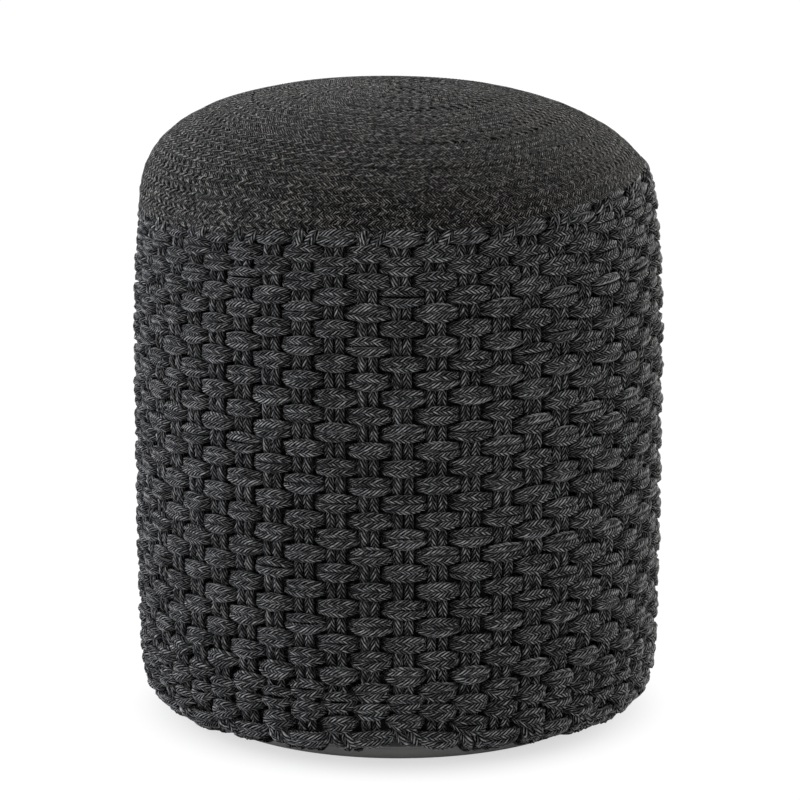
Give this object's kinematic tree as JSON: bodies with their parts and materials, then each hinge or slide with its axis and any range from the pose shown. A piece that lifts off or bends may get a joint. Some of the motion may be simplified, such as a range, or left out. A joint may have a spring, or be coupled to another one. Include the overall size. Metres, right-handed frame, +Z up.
{
  "type": "outdoor pouf footstool",
  "caption": "Round drum-shaped outdoor footstool with a wall woven from doubled braided cord, a domed coiled crown, an inner liner with filling, and a zipped base.",
  "frame": {"origin": "on the floor at the middle of the base panel's underside", "axes": "+Z up along the drum, front towards -Y, zip of the base along X"},
  "size_m": [0.3808, 0.3808, 0.4569],
  "materials": {
    "wall_cord": "matte",
    "hem_cord": "matte",
    "crown_cord": "matte",
    "liner_cloth": "matte",
    "filling_beads": "matte",
    "base_sheet": "satin",
    "zip_cloth": "matte",
    "zip_plastic": "satin",
    "zip_metal": "satin"
  },
  "bodies": {
    "ottoman": {"top_hem": "hem_cord", "weft_row_01": "wall_cord", "weft_row_02": "wall_cord", "weft_row_03": "wall_cord", "weft_row_04": "wall_cord", "weft_row_05": "wall_cord", "weft_row_06": "wall_cord", "weft_row_07": "wall_cord", "weft_row_08": "wall_cord", "weft_row_09": "wall_cord", "weft_row_10": "wall_cord", "weft_row_11": "wall_cord", "weft_row_12": "wall_cord", "weft_row_13": "wall_cord", "weft_row_14": "wall_cord", "weft_row_15": "wall_cord", "weft_row_16": "wall_cord", "weft_row_17": "wall_cord", "weft_row_18": "wall_cord", "weft_row_19": "wall_cord", "weft_row_20": "wall_cord", "weft_row_21": "wall_cord", "weft_row_22": "wall_cord", "weft_row_23": "wall_cord", "weft_row_24": "wall_cord", "weft_row_25": "wall_cord", "weft_row_26": "wall_cord", "weft_row_27": "wall_cord", "weft_row_28": "wall_cord", "weft_row_29": "wall_cord", "weft_row_30": "wall_cord", "bottom_hem": "hem_cord", "warp_cords": "wall_cord", "crown_coil": "crown_cord", "liner_top": "liner_cloth", "liner_side": "liner_cloth", "liner_bottom": "liner_cloth", "filling": "filling_beads", "base_panel": "base_sheet", "zip_tape_front": "zip_cloth", "zip_tape_back": "zip_cloth", "zip_teeth_front": "zip_plastic", "zip_teeth_back": "zip_plastic", "zip_stop_closed_end": "zip_metal", "zip_stop_open_end": "zip_metal"},
    "slider": {"zip_slider": "zip_metal"},
    "pull": {"zip_pull": "zip_metal"}
  },
  "joints": [
    {"name": "zip_slide", "type": "slide", "parent": "ottoman", "child": "slider", "axis": [-1, 0, 0], "range_m": [0, 0.165]},
    {"name": "pull_hinge", "type": "hinge", "parent": "slider", "child": "pull", "pos_m": [0.0904, 0.06, 0.0027], "axis": [0, -1, 0], "range_deg": [0, 150]}
  ]
}
